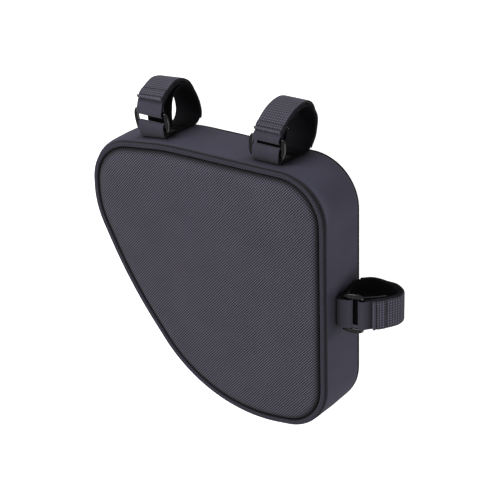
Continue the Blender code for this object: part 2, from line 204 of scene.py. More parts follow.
# The first strap's ring hangs more level than the gusset under it: turn in degrees by height.
LEVEL = {"top_left": graph((0.0, 0.0), (0.010, -8.0), (0.022, -8.0), (0.042, -3.0))}
STRAIGHT = graph((0.0, 0.0))

# Height of each tab's fold over the ring's lower bar, as a share of a round fold's.
TAB_STAND = {"top_left": 1.0, "top_right": 1.9, "side": 1.0}

# Ring end from its inner lower corner round to the inner upper one: out as a share of the
# end's width, and height as a share of half the ring's height.
End = namedtuple("End", "out height")
RING_END = listed(
    End, (0.10, -1.04), (0.45, -1.20), (0.78, -0.98), (1.0, -0.45), (1.0, 0.15), (0.80, 0.55),
    (0.45, 0.78), (0.10, 0.78),
)

# Painted light and shade, as the tone of the cloth: 1 where its colour is left alone, lower for
# painted shade and higher for a painted highlight. A panel's goes by the distance from its
# groove, a piping's by the share of its width from there, the gusset's by the share of its depth
# from a seam and the distance from a strap's loop, and a tab's by the distance from its top. At
# the side strap a distance towards the front counts SIDE_SHADE_REACH as much. Along the top the
# gusset's edges are TOP_GROOVE as dark as on the right, which is turned from the overhead light.
PANEL_PAINTED_SHADE = graph((0.0, 0.05), (0.0017, 0.14), (0.0033, 0.62), (0.0056, 1.0))
PIPING_PAINTED_LIGHT = graph(
    (0.0, 0.10), (0.10, 0.35), (0.22, 1.0), (0.34, 1.2), (0.47, 0.75), (0.62, 1.15),
    (0.78, 0.75), (0.90, 0.28), (1.0, 0.08),
)
LOOP_PAINTED_SHADOW = graph((0.0, 0.15), (0.0015, 0.40), (0.005, 0.72), (0.012, 1.0))
TAB_PAINTED_SHADE = graph(
    (-0.004, 0.15), (-0.001, 0.9), (0.004, 1.0), (0.009, 0.75), (0.013, 0.30), (0.016, 0.12),
)
SIDE_SHADE_REACH = 0.35
TOP_GROOVE = 0.45
GUSSET_PAINTED_LIGHT = graph((0.0, 0.08), (0.014, 0.16), (0.030, 0.80), (0.045, 1.12), (0.10, 1.0))

# Cloth detail: heights of the soft unevenness, the sizes of its humps, and the strap's parts.
PANEL_SWELL = 0.00045
PANEL_HUMP = 0.034
PUCKER = 0.00018
PUCKER_LENGTH = 0.0055
PANEL_EASE = 1.6
GUSSET_SWELL = 0.00055
GUSSET_HUMP = 0.030
BEAD_WANDER = 0.00012
BEAD_SWELL = 0.00010
BEAD_HUMP = 0.012
TAPE_HUMP = 0.014
WEBBING_RIB = 0.0022
WEBBING_COLUMN = 0.0021
COLUMN_RISE = 0.00030
LIP_LENGTH = 0.0019
LIP_RISE = 0.0017
# Painted highlight on the lap's lip, and painted shadow across the tape just under it.
LIP_PAINTED_HIGHLIGHT = 1.3
LIP_SHADE = 0.0013
LIP_PAINTED_SHADOW = 0.7
HEM_RISE = 0.0004
HEM_FADE = 0.0010
PEBBLE = 0.0020
STITCH_SINK = 0.0006
STITCH_GROOVE = 0.0010
# Painted shade in the stitches' grooves.
STITCH_PAINTED_SHADE = 0.85
STITCH_PITCH = 0.0024
STITCH_LENGTH = 0.0019
THREAD = 0.0010
BASE_WALL = 0.0008
# Painted shade on the webbing's edges and underside.
EDGE_PAINTED_SHADE = 0.10

# Folded end of each lap: where it starts, up the tape from its fold round the ring's bar, and
# its two rows of stitches, up from there.
Hem = namedtuple("Hem", "start first second")
HEMS = {
    "top_left": Hem(0.0090, 0.0026, 0.0098),
    "top_right": Hem(0.0030, 0.0026, 0.0076),
    "side": Hem(0.0075, 0.0028, 0.0106),
}

# Weaves: thread spacings, and the angle of the direction that the stripes cross. The twill's
# real ribs are 1.3 mm apart, too fine to show, so they are drawn coarser.
TWILL_PITCH = 0.0017
TWILL_TURN = radians(-42)
TWILL_FLOAT = 0.0018
FLOAT_TURN = radians(92)
BINDING_PITCH = 0.0016
NYLON_GRAIN = 0.0006
PILE_GRAIN = 0.0007
MOTTLE = 0.16

# Camera and light
CAMERA_TURN = 35.0
CAMERA_TILT = 25.2
CAMERA_ROLL = -1.6
CAMERA_LENS = 129.6
CAMERA_REACH = 1.440
AIM_LEFT = 0.0712
AIM_DOWN = 0.07445
SKY = 0.27
SWEEP_REACH = 6.0
SWEEP_DROP = 0.0002

# Softboxes: name, place, side in metres and power in watts.
SOFTBOXES = [
    ("overhead", (-0.38, 0.85, 0.60), 0.8, 8.0),
    ("front", (0.45, -0.75, 1.40), 0.5, 3.2),
    ("right", (1.6, -0.2, 0.5), 1.2, 10.5),
]


def outline(step, turn):
    """Outer seam as (point, outward normal) pairs, from the top right corner leftwards.

    The second value gives the place in that list of each named corner's middle.
    """
    places = [Vector(((c.along + 0.5) * BODY_LENGTH, (c.up + 0.5) * BODY_HEIGHT)) for c in CORNERS]
    count = len(places)
    ways = []
    turns = []
    tangents = []
    for index, place in enumerate(places):
        arriving = (place - places[index - 1]).normalized()
        leaving = (places[(index + 1) % count] - place).normalized()
        ways.append((arriving, leaving))
        turns.append(arriving.angle(leaving))
        tangents.append(CORNERS[index].radius * BODY_HEIGHT * tan(turns[-1] / 2))
    limited = []
    for index, place in enumerate(places):
        room = 1.0
        for other in (index - 1, (index + 1) % count):
            edge = (places[other] - place).length
            room = min(room, CORNER_ROOM * edge / (tangents[index] + tangents[other]))
        limited.append(tangents[index] * room)
    seam = []
    middles = {}
    for index, place in enumerate(places):
        arriving, leaving = ways[index]
        start = place - arriving * limited[index]
        radius = limited[index] / tan(turns[index] / 2)
        outward = Vector((arriving.y, -arriving.x))
        centre = start - outward * radius
        steps = ceil(max(turns[index] / turn, radius * turns[index] / step))
        middles[CORNERS[index].name] = len(seam) + steps // 2
        for part in range(steps + 1):
            angle = turns[index] * part / steps
            normal = outward * cos(angle) + arriving * sin(angle)
            seam.append((centre + normal * radius, normal))
        finish = seam[-1][0]
        following = places[(index + 1) % count] - leaving * limited[(index + 1) % count]
        pieces = ceil((following - finish).length / step)
        normal = seam[-1][1]
        for piece in range(1, pieces):
            seam.append((finish.lerp(following, piece / pieces), normal))
    return seam, middles


def between(table, value):
    """Second column of a two-column table at a value of its first column."""
    if value <= table[0][0]:
        return table[0][1]
    for low, high in zip(table, table[1:]):
        if value <= high[0]:
            share = (value - low[0]) / (high[0] - low[0])
            return low[1] + share * (high[1] - low[1])
    return table[-1][1]


def eased(table, value):
    """As between, on a smooth curve through the rows that never overshoots them."""
    if value <= table[0][0]:
        return table[0][1]
    for index, (low, high) in enumerate(zip(table, table[1:])):
        if value <= high[0]:
            before = table[max(index - 1, 0)]
            after = table[min(index + 2, len(table) - 1)]
            width = high[0] - low[0]
            chord = (high[1] - low[1]) / width
            slopes = []
            for first, last in ((before, high), (low, after)):
                slope = (last[1] - first[1]) / (last[0] - first[0])
                limit = 3 * abs(chord)
                slopes.append(max(-limit, min(limit, slope)))
            t = (value - low[0]) / width
            return (
                low[1] * (2 * t**3 - 3 * t**2 + 1) + high[1] * (3 * t**2 - 2 * t**3)
                + width * (slopes[0] * (t**3 - 2 * t**2 + t) + slopes[1] * (t**3 - t**2))
            )
    return table[-1][1]


def walk(seam, start, goal, direction):
    """Length of the seam from one of its points to another, one way round."""
    count = len(seam)
    length = 0.0
    index = start
    while index != goal:
        following = (index + direction) % count
        length += (seam[following][0] - seam[index][0]).length
        index = following
    return length


def puff_heights(seam, middles):
    """Rise of the gusset at each point of the seam, in metres."""
    heights = []
    for index in range(len(seam)):
        rise = 0.0
        for corner, puff in PUFFS.items():
            forward = walk(seam, middles[corner], index, 1)
            backward = walk(seam, middles[corner], index, -1)
            along = -forward if forward < backward else backward
            rise = max(rise, between(puff, along / BODY_LENGTH))
        heights.append(rise * CORNER_RISE)
    return heights


def softened(heights, rounds):
    """A closed row of heights with each one drawn towards its neighbours."""
    for _ in range(rounds):
        count = len(heights)
        heights = [
            (heights[i - 1] + 2 * heights[i] + heights[(i + 1) % count]) / 4 for i in range(count)
        ]
    return heights


def edge_point(seam, heights, along, outward, place):
    """Point of the outer seam at a place along one edge, and the gusset's rise there."""
    best = None
    count = len(seam)
    for index in range(count):
        here, there = seam[index][0], seam[(index + 1) % count][0]
        low, high = sorted((here.dot(along), there.dot(along)))
        if low <= place <= high and high - low > 1e-9:
            share = (place - here.dot(along)) / (there.dot(along) - here.dot(along))
            point = here.lerp(there, share)
            rise = heights[index] + share * (heights[(index + 1) % count] - heights[index])
            if best is None or point.dot(outward) > best[0].dot(outward):
                best = (point, rise)
    return best


class Seat:
    """Where a strap is sewn: a straight line on the gusset, just clear of its facets."""

    def __init__(self, strap, seam, heights):
        self.skew = strap.skew
        self.level = LEVEL.get(strap.name, STRAIGHT)
        self.straight_to = bars(strap)[1].x + BAR_HEIGHT + BAND_WALL
        top = strap.side == "top"
        self.along = Vector((1, 0)) if top else Vector((0, 1))
        outward = Vector((0, 1)) if top else Vector((1, 0))
        place = (BODY_LENGTH if top else BODY_HEIGHT) * (0.5 + strap.centre)
        crest = [(point + normal * height, normal)
                 for (point, normal), height in zip(seam, heights)]
        ends = [edge_point(crest, heights, self.along, outward, place + side * WEBBING_WIDTH / 2)
                for side in (-1, 1)]
        (left, left_rise), (right, right_rise) = ends
        self.along = (right - left).normalized()
        self.outward = Vector((-self.along.y, self.along.x))
        if self.outward.dot(outward) < 0:
            self.outward.negate()
        self.middle = (left + right) / 2
        self.rise = min(left_rise, right_rise)
        spare = 0.0
        for (point, normal), height in zip(crest, heights):
            reach = point - self.middle
            if abs(reach.dot(self.along)) < WEBBING_WIDTH / 2 and normal.dot(outward) > 0.5:
                spare = max(spare, reach.dot(self.outward))
                self.rise = min(self.rise, height)
        self.middle = self.middle + self.outward * spare

    def foot(self, depth):
        """Drop of the gusset under the seat line at a depth."""
        share = (depth - SEAM_MARGIN) / (GUSSET_DEPTH - 2 * SEAM_MARGIN)
        return self.rise * (between(GUSSET_ROWS, share) - 1)

    def place(self, along, depth, height):
        """Point of the bag at a distance along the seat line, a depth and a height over it."""
        drift = self.skew * max(depth - self.straight_to, 0.0)
        sideways = Matrix.Rotation(radians(between(self.level, height)), 2) @ self.along
        flat = self.middle + sideways * (along + drift) + self.outward * height
        return Vector((flat.x, flat.y, FRONT_SEAM - depth))


def smooth(points, step):
    """Points about a step apart on a smooth curve through the given ones."""
    ends = [2 * points[0] - points[1]] + points + [2 * points[-1] - points[-2]]
    curve = [points[0]]
    for index in range(1, len(ends) - 2):
        before, start, stop, after = ends[index - 1:index + 3]
        pieces = max(1, round((stop - start).length / step))
        for piece in range(1, pieces + 1):
            t = piece / pieces
            bend = (2 * before - 5 * start + 4 * stop - after) * t * t
            turn = (3 * start - before - 3 * stop + after) * t * t * t
            curve.append(0.5 * (2 * start + (stop - before) * t + bend + turn))
    return curve


def fold(bar, first, last):
    """Arc of a ribbon round a bar, from one angle to another, in degrees."""
    arc = []
    for step in range(FOLD_STEPS + 1):
        angle = radians(first + (last - first) * step / FOLD_STEPS)
        arc.append(bar + BAR_TURN * Vector((cos(angle), sin(angle))))
    return arc


def touch(bar, goal, side):
    """Angle in degrees where a ribbon to the goal leaves its fold round a bar."""
    reach = goal - bar
    spread = acos(min(BAR_TURN / reach.length, 1.0))
    return degrees(atan2(reach.y, reach.x) + side * spread)


def beside(line, index, offset):
    """A point of the line moved outwards from the loop."""
    ahead = line[min(index + 1, len(line) - 1)]
    behind = line[max(index - 1, 0)]
    travel = (ahead - behind).normalized()
    return line[index] + offset * Vector((travel.y, -travel.x))


def bars(strap):
    """Centres of the ring's lower and upper bars, as (depth, height)."""
    lean = radians(strap.lean)
    lower = Vector((strap.bar_depth * GUSSET_DEPTH, strap.bar_height * LOOP_HEIGHT))
    return lower, lower + BAR_PITCH * Vector((sin(lean), cos(lean)))


def course_points(rows):
    """Course rows as (depth, height) points in metres."""
    return [Vector((row.depth * GUSSET_DEPTH, row.height * LOOP_HEIGHT)) for row in rows]


def band_lines(strap, seat):
    """The inner layer's course, its distances from the ring, and the fold and tape after it."""
    upper = bars(strap)[1]
    foot = []
    for share in (1.0, 0.5, 0.0):
        depth = strap.root * GUSSET_DEPTH - share * FOOT_LENGTH
        foot.append(Vector((depth, SOLE + seat.foot(depth))))
    rows = course_points(COURSES[strap.name])
    arrive = touch(upper, rows[-1], -1)
    course = smooth(foot + rows + fold(upper, arrive, arrive)[:1], RIBBON_STEP)
    left = along_lengths(course[::-1])[::-1]
    reach = strap.lap_from * LOOP_HEIGHT + TAPE_TUCK
    tape = [
        beside(course, index, LAYER)
        for index in reversed(range(len(course)))
        if TAPE_JOIN <= left[index] <= reach
    ]
    leave = touch(upper, tape[0], 1) - 360
    return course, left, fold(upper, arrive, leave) + tape


def lap_line(strap, course, left, turned):
    """Line of the ribbed webbing: up the tape from the folded end, then over the inner layer."""
    tape_end = strap.lap_from * LOOP_HEIGHT + TAPE_TUCK
    stop = left[0] - FOOT_LENGTH - strap.lap_to * LOOP_HEIGHT
    spine = smooth_corners(turned[FOLD_STEPS:])
    for index in reversed(range(len(course))):
        if tape_end < left[index] <= stop:
            over_tape = 1 - min(max((left[index] - tape_end - LAP_CLEAR) / LAP_EASE, 0.0), 1.0)
            spine.append(beside(course, index, over_tape * LAYER))
    lengths = along_lengths(spine)
    off = BAND_WALL / 2 + GAP + LAP_WALL / 2
    start = HEMS[strap.name].start
    return [beside(spine, index, -off) for index, length in enumerate(lengths) if length >= start]


def tab_line(strap, seat):
    """The sewn tab: two flat legs on the gusset and a fold round the ring's lower bar."""
    lower = bars(strap)[0]
    behind = lower.x + BAR_TURN
    heel = behind + TAB_FOOT
    lean = tan(radians(strap.lean)) * (lower.y - SOLE)
    front = lower.x - BAR_TURN - lean
    inner_leg = [
        Vector((heel, SOLE + LAYER + seat.foot(heel))),
        Vector((behind + LAYER, SOLE + LAYER + seat.foot(lower.x))),
        Vector((behind, SOLE + LAYER + TAB_BEND)),
    ]
    outer_leg = [
        Vector((front, SOLE + TAB_BEND)),
        Vector((front + TAB_BEND / 3, SOLE + TAB_BEND / 3 + seat.foot(front))),
        Vector((front + TAB_BEND, SOLE + seat.foot(front + TAB_BEND))),
        Vector((heel, SOLE + seat.foot(heel))),
    ]
    stand = TAB_STAND[strap.name]
    over = [Vector((spot.x, lower.y + (spot.y - lower.y) * stand)) for spot in fold(lower, 0, 180)]
    return inner_leg + over + outer_leg


def linear(code):
    """Linear colour of an sRGB hex value."""
    values = [int(code[start:start + 2], 16) / 255 for start in (1, 3, 5)]
    return (*[v / 12.92 if v <= 0.04045 else ((v + 0.055) / 1.055) ** 2.4 for v in values], 1.0)


def add(tree, kind, inputs, **settings):
    """One node: settings go on the node, and inputs are values or the sockets that feed it."""
    made = tree.nodes.new("ShaderNode" + kind)
    for name, value in settings.items():
        setattr(made, name, value)
    for key, value in inputs.items():
        if isinstance(value, bpy.types.NodeSocket):
            tree.links.new(value, made.inputs[key])
        else:
            made.inputs[key].default_value = value
    return made


def start_material(name, **sockets):
    """A material with its shader's constant sockets set."""
    made = bpy.data.materials.new(name)
    made.use_nodes = True
    shader = made.node_tree.nodes["Principled BSDF"]
    for socket, value in sockets.items():
        shader.inputs[socket.replace("_", " ")].default_value = value
    return made, made.node_tree, shader


def wave(tree, place, pitch, turn):
    """Soft stripes from 0 to 1, a pitch apart, that cross a direction turned from X."""
    turns = 2 * pi / pitch
    direction = (turns * cos(turn), turns * sin(turn), 0.0)
    phase = add(tree, "VectorMath", {0: place, 1: direction}, operation="DOT_PRODUCT")
    cosine = add(tree, "Math", {0: phase.outputs["Value"]}, operation="COSINE")
    half = add(tree, "Math", {0: cosine.outputs[0], 1: 0.5, 2: 0.5},
               operation="MULTIPLY_ADD")
    return half.outputs[0]


def weave(tree, place, ribs, dots):
    """Height of a twill from 0 to 1: ribs and dots are the (pitch, turn) of two waves."""
    rib = wave(tree, place, *ribs)
    dot = wave(tree, place, *dots)
    broken = add(tree, "Math", {0: dot, 1: 0.75, 2: 0.25}, operation="MULTIPLY_ADD")
    return add(tree, "Math", {0: rib, 1: broken.outputs[0]}, operation="MULTIPLY").outputs[0]


def cloth(name, place_from, low, high, mottle, pattern, relief, rough, shine, sheen=0.0):
    """A cloth whose colour and relief follow one pattern, with a soft mottle over its colour.

    Its mesh carries painted light: painted shade in edges, grooves and what lies in a loop, and
    painted highlights.
    """
    made, tree, shader = start_material(name, Roughness=rough, Specular_IOR_Level=shine,
                                        Sheen_Weight=sheen)
    source = add(tree, "TexCoord", {})
    place = source.outputs[place_from]
    height = pattern(tree, place)
    spots = add(tree, "TexNoise", {"Vector": place, "Scale": mottle, "Detail": 3.0})
    ramp = add(tree, "Mix", {0: height, 6: linear(low), 7: linear(high)}, data_type="RGBA")
    shade = add(tree, "MapRange",
                {"Value": spots.outputs["Fac"], "To Min": 1 - MOTTLE, "To Max": 1 + MOTTLE})
    tinted = add(tree, "VectorMath",
                 {0: ramp.outputs[2], "Scale": shade.outputs["Result"]}, operation="SCALE")
    tone = add(tree, "Attribute", {}, attribute_name="tone")
    painted_colour = add(tree, "VectorMath",
                {0: tinted.outputs["Vector"], "Scale": tone.outputs["Fac"]}, operation="SCALE")
    tree.links.new(painted_colour.outputs["Vector"], shader.inputs["Base Color"])
    bump = add(tree, "Bump", {"Height": height, "Distance": relief, "Strength": 1.0})
    tree.links.new(bump.outputs["Normal"], shader.inputs["Normal"])
    return made


def twill_weave(tree, place):
    """Coarse twill: ribs rise to the right at 48 degrees, each broken into short floats."""
    return weave(tree, place, (TWILL_PITCH, TWILL_TURN), (TWILL_FLOAT, TWILL_TURN + FLOAT_TURN))


def binding_weave(tree, place):
    """The same twill woven finer, with its ribs aslant of the piping."""
    return weave(tree, place, (BINDING_PITCH, radians(40)), (BINDING_PITCH, radians(-50)))


def nylon_weave(tree, place):
    """A taffeta under its coating: hardly more than a faint grain."""
    grain = add(tree, "TexNoise", {"Vector": place, "Scale": 1 / NYLON_GRAIN, "Detail": 2.0})
    return grain.outputs["Fac"]


def loop_pile(tree, place):
    """Brushed loops, which scatter light in all directions."""
    pile = add(tree, "TexNoise", {"Vector": place, "Scale": 1 / PILE_GRAIN, "Detail": 2.0})
    return pile.outputs["Fac"]


def webbing_weave(tree, place):
    """Threads one way make columns, which the threads the other way break into dots."""
    rib = wave(tree, place, WEBBING_RIB, radians(90))
    column = wave(tree, place, WEBBING_COLUMN, 0.0)
    dots = add(tree, "Math", {0: rib, 1: 0.7, 2: 0.3}, operation="MULTIPLY_ADD")
    lines = add(tree, "Math", {0: column, 1: 0.8, 2: 0.2}, operation="MULTIPLY_ADD")
    return add(tree, "Math", {0: lines.outputs[0], 1: dots.outputs[0]},
               operation="MULTIPLY").outputs[0]


def moulded_acetal():
    """Acetal from a polished mould: satin black with clean highlights."""
    made, tree, shader = start_material("moulded_acetal", Roughness=0.2, Specular_IOR_Level=0.8)
    source = add(tree, "TexCoord", {})
    spots = add(tree, "TexNoise", {"Vector": source.outputs["Object"], "Scale": 900.0})
    shader.inputs["Base Color"].default_value = linear("#070708")
    bump = add(tree, "Bump", {"Height": spots.outputs["Fac"], "Distance": 0.00004})
    tree.links.new(bump.outputs["Normal"], shader.inputs["Normal"])
    return made


def bonded_thread():
    """Bonded nylon thread: black, with a slight gloss along each stitch."""
    made, tree, shader = start_material("bonded_nylon_thread", Roughness=0.5, IOR=1.53)
    source = add(tree, "TexCoord", {})
    spots = add(tree, "TexNoise", {"Vector": source.outputs["Object"], "Scale": 1500.0})
    ramp = add(tree, "Mix",
               {0: spots.outputs["Fac"], 6: linear("#0c0c0e"), 7: linear("#1c1b20")}, data_type="RGBA")
    tree.links.new(ramp.outputs[2], shader.inputs["Base Color"])
    return made


def linked(name, data):
    """A new object in the scene."""
    made = bpy.data.objects.new(name, data)
    bpy.context.collection.objects.link(made)
    return made


def mesh_object(name, edit):
    """A finished mesh as an object in the scene."""
    mesh = bpy.data.meshes.new(name)
    edit.to_mesh(mesh)
    edit.free()
    return linked(name, mesh)


def finish_piece(name, edit, finishes, node=None):
    """A finished mesh as a piece of the bag, in place of a plain CAD solid where it has one."""
    piece = mesh_object(name, edit)
    for finish in finishes:
        piece.data.materials.append(finish)
    piece.data.shade_smooth()
    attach(piece, "root")
    if node:
        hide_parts(node)
    return piece


def thicken(piece, wall, offset, inner=0, rim=0):
    """Give a sheet its wall; inner and rim are steps from its outer material to theirs."""
    solid = piece.modifiers.new("wall", "SOLIDIFY")
    solid.thickness = wall
    solid.offset = offset
    solid.material_offset = inner
    solid.material_offset_rim = rim
    soften = piece.modifiers.new("edges", "BEVEL")
    soften.width = wall / 4
    soften.segments = 2
    soften.limit_method = "ANGLE"
    soften.angle_limit = radians(50)


def laid(columns, rows, place, flat, shade=lambda u, v: 1.0):
    """A grid laid out by place(u, v), its shares across and along.

    Its UV map is flat(u, v), and shade(u, v) is the painted light and shade of its cloth.
    """
    edit = bmesh.new()
    bmesh.ops.create_grid(edit, x_segments=columns, y_segments=rows, size=0.5)
    cut = edit.loops.layers.uv.new("flat")
    tone = edit.verts.layers.float.new("tone")
    for face in edit.faces:
        for corner in face.loops:
            corner[cut].uv = flat(corner.vert.co.x + 0.5, corner.vert.co.y + 0.5)
    for vert in edit.verts:
        u, v = vert.co.x + 0.5, vert.co.y + 0.5
        vert[tone] = shade(u, v)
        vert.co = place(u, v)
    bmesh.ops.remove_doubles(edit, verts=edit.verts, dist=WELD)
    return edit


def along_lengths(points):
    """Distance of each point from the first, along a line."""
    lengths = [0.0]
    for here, there in zip(points, points[1:]):
        lengths.append(lengths[-1] + (there - here).length)
    return lengths


class Body:
    """The bag's outline and its puffed corners, as rows that follow the seam."""

    def __init__(self):
        self.seam, middles = outline(FINE_STEP, FINE_TURN)
        self.heights = softened(puff_heights(self.seam, middles), 12)
        self.count = len(self.seam)
        points = [point for point, _ in self.seam]
        self.lengths = along_lengths(points + points[:1])
        sides = zip(points, points[1:] + points[:1])
        self.area = abs(sum(here.cross(there) for here, there in sides)) / 2
        self.centre = sum(points, Vector((0, 0))) / self.count

    def index(self, share):
        """Which point of the seam lies at a share of its points."""
        return round(share * self.count) % self.count

    def at(self, share, inset, height):
        """A point at a height, in from the seam at a share of its points."""
        point, normal = self.seam[self.index(share)]
        flat = point - normal * inset
        return Vector((flat.x, flat.y, height))

    def length(self, share):
        """Length of the seam up to a share of its points."""
        return self.lengths[round(share * self.count)]


def swell(spot, size, seed):
    """Smooth unevenness from -1 to 1 whose humps are about a size across."""
    return noise.noise(spot / size + Vector((seed, 0, 0)))


def agree(edit):
    """Make all the normals of a mesh agree."""
    bmesh.ops.recalc_face_normals(edit, faces=edit.faces)


def turn_out(edit, measure, outward):
    """Make the normals agree, and point outwards at the face whose measure is least."""
    agree(edit)
    if min(edit.faces, key=measure).normal.dot(outward) < 0:
        bmesh.ops.reverse_faces(edit, faces=edit.faces)


def panel(side, body, seam_height, crown, facing, finish):
    """A crowned face whose edge rolls down into the groove along the piping."""
    edge_rows, rows = 22, 60

    def place(u, v):
        row = round(v * rows)
        run = min(row / edge_rows, 1.0) ** PANEL_EASE
        inset = PIPING_WIDTH + run * CROWN_RUN
        spot = body.at(u, inset, 0.0)
        inward = max(row - edge_rows, 0) / (rows - edge_rows)
        spot = spot.lerp(Vector((body.centre.x, body.centre.y, 0.0)), inward)
        rise = eased(CROWN, run) * crown
        rise += PANEL_SWELL * swell(spot, PANEL_HUMP, facing * 3) * run
        rise += PUCKER * swell(spot, PUCKER_LENGTH, 7) * sin(pi * min(run * 2.2, 1.0))
        spot.z = seam_height + facing * rise
        if facing < 0:
            spot.z = max(spot.z, 0.0)
        return spot

    # Painted shade where the panel rolls down into the groove along the piping.
    def shade(u, v):
        run = min(round(v * rows) / edge_rows, 1.0) ** PANEL_EASE
        return between(PANEL_PAINTED_SHADE, run * CROWN_RUN)

    edit = laid(body.count, rows, place, lambda u, v: place(u, v).xy, shade)
    turn_out(edit, lambda face: (face.calc_center_median().xy - body.centre).length,
             Vector((0, 0, facing)))
    piece = finish_piece(side + "_panel_twill", edit, [finish], side + "_panel")
    thicken(piece, PANEL_WALL, -1.0)


def piping(side, body, seam_height, facing, finish):
    """Binding folded over the seam: a low bead with two soft ridges along it."""
    steps = 26
    section = []
    for step in range(steps + 1):
        out = PIPING[-1].at * step / steps
        section.append((PIPING_WIDTH * (1 - out), eased(PIPING, out) * PIPING_HEIGHT))
    section += [(GUSSET_WALL, -PIPING_ROOT), (PIPING_WIDTH, -2 * PIPING_ROOT)]
    rows = len(section)
    across = along_lengths([Vector(spot) for spot in section + section[:1]])

    def place(u, v):
        row = round(v * rows) % rows
        inset, rise = section[row]
        spot = body.at(u, inset, seam_height)
        if row <= steps:
            wander = swell(spot, BEAD_HUMP, 11 + facing)
            spot = body.at(u, inset + BEAD_WANDER * wander, seam_height)
            rise += BEAD_SWELL * wander
        spot.z += facing * rise
        return spot

    # Painted shade in the grooves at the bead's two edges, painted highlights on its two ridges.
    def shade(u, v):
        return between(PIPING_PAINTED_LIGHT, min(round(v * rows) % rows / steps, 1.0))

    edit = laid(body.count, rows, place,
                lambda u, v: (body.length(u), across[round(v * rows)]), shade)
    agree(edit)
    finish_piece(side + "_piping_bead", edit, [finish], side + "_piping")


def loop_shade(strap, seat, spot):
    """Painted shadow of a strap's loop on the gusset: dark under the loop, with a soft edge."""
    reach = spot.xy - seat.middle
    depth = FRONT_SEAM - spot.z
    along = reach.dot(seat.along) - seat.skew * max(depth - seat.straight_to, 0.0)
    ahead = SIDE_SHADE_REACH if strap.side == "right" else 1.0
    beyond = max(
        abs(along) - WEBBING_WIDTH / 2,
        (bars(strap)[0].x - depth) * ahead,
        depth - strap.root * GUSSET_DEPTH,
        abs(reach.dot(seat.outward)) - CORNER_RISE * 2,
        0.0,
    )
    return between(LOOP_PAINTED_SHADOW, beyond)


def gusset(body, seats, finish):
    """The side wall: one strip round the bag that puffs out at its corners."""
    rows = 40
    margin = PIPING_ROOT + GAP / 2

    def depth_at(v):
        return 0.5 - 0.5 * cos(pi * v)

    def place(u, v):
        share = depth_at(v)
        height = body.heights[body.index(u)]
        spot = body.at(u, 0.0, FRONT_SEAM - margin - share * (GUSSET_DEPTH - 2 * margin))
        turned = eased(GUSSET_EDGE, min(share, 1 - share)) * GROOVE_DEPTH
        bulge = GUSSET_SWELL * swell(spot, GUSSET_HUMP, 5) * sin(pi * share)
        return body.at(u, turned - bulge - height * eased(GUSSET_ROWS, share), spot.z)

    # Painted shade in the grooves at both seams, strongest on the right-facing side, a painted
    # highlight in a band beside them, and the painted shadow of each strap's loop.
    def shade(u, v):
        share = depth_at(v)
        spot = place(u, v)
        rightward = max(body.seam[body.index(u)][1].x, 0.0)
        weight = TOP_GROOVE + (1 - TOP_GROOVE) * rightward
        edge = 1 - weight * (1 - between(GUSSET_PAINTED_LIGHT, min(share, 1 - share)))
        return min([edge] + [loop_shade(strap, seat, spot) for strap, seat in seats])

    edit = laid(body.count, rows, place,
                lambda u, v: (body.length(u), GUSSET_DEPTH * depth_at(v)), shade)
    turn_out(edit, lambda face: -face.calc_center_median().x, Vector((1, 0, 0)))
    piece = finish_piece("gusset_strip", edit, [finish], "gusset")
    thicken(piece, GUSSET_WALL, -1.0)


def ribbon(seat, line, ripple, seed, shade=lambda along: 1.0):
    """A sheet of tape along a line of (depth, height) points, a little uneven.

    Its tone is shade(along), by the distance from its first end. It starts from the side that
    makes its faces look out of its loop.
    """
    columns = 16
    rows = len(line) - 1
    lengths = along_lengths(line)
    hand = -1 if seat.along.cross(seat.outward) > 0 else 1

    def place(u, v):
        index = round(v * rows)
        across = hand * (u - 0.5) * WEBBING_WIDTH
        lift = ripple * swell(Vector((across, lengths[index], seed)), TAPE_HUMP, seed)
        spot = beside(line, index, lift)
        return seat.place(across, spot.x, spot.y)

    edit = laid(columns, rows, place,
                lambda u, v: ((u - 0.5) * WEBBING_WIDTH, lengths[round(v * rows)]),
                lambda u, v: shade(lengths[round(v * rows)]))
    return edit, lengths


def tape_piece(strap, kind, edit, finishes, length, node=None, **steps):
    """One soft tape of a strap with its wall, as a folded sheet."""
    piece = finish_piece(strap.name + "_" + kind + "_tape", edit, finishes, node)
    thicken(piece, BAND_WALL, 0.0, **steps)


def band(strap, seat, course, turned, finishes):
    """The inner layer and the tape that it becomes after its fold round the ring's bar.

    The finishes are the layer's outer and inner side, the tape's inner and outer one and its
    cut edge.
    """
    line = course[:-1] + turned
    lengths = along_lengths(line)
    lip = lengths[len(course) - 1 + FOLD_STEPS] + HEMS[strap.name].start - LIP_SHADE / 2

    # Painted shadow of the lap's lip across the tape just under it.
    def shade(along):
        return 1 - LIP_PAINTED_SHADOW * max(0.0, 1 - abs(along - lip) / LIP_SHADE)

    edit, _ = ribbon(seat, line, 0.00012, 1.0 + len(strap.name), shade)
    limit = lengths[len(course) - 1]
    cut = edit.loops.layers.uv["flat"]
    for face in edit.faces:
        reach = sum(corner[cut].uv.y for corner in face.loops) / len(face.loops)
        face.material_index = 0 if reach < limit else 2
    tape_piece(strap, "band", edit, finishes, lengths[-1], strap.name + "_band", inner=1, rim=2)


def tab(strap, seat, finishes):
    """The short tape folded round the ring's lower bar and sewn to the gusset.

    Painted shade darkens its inner leg, in the dark of the loop, and its front towards the gusset.
    """
    line = smooth_corners(tab_line(strap, seat))
    lengths = along_lengths(line)
    folded = lengths[max(range(len(line)), key=lambda index: line[index].y)]
    painted_shade_rows = [Knot(folded + row.at, row.value) for row in TAB_PAINTED_SHADE]
    edit, _ = ribbon(seat, line, 0.00006, 4.0 + len(strap.name), lambda along: between(painted_shade_rows, along))
    tape_piece(strap, "tab", edit, finishes, lengths[-1], strap.name + "_tab", rim=1)


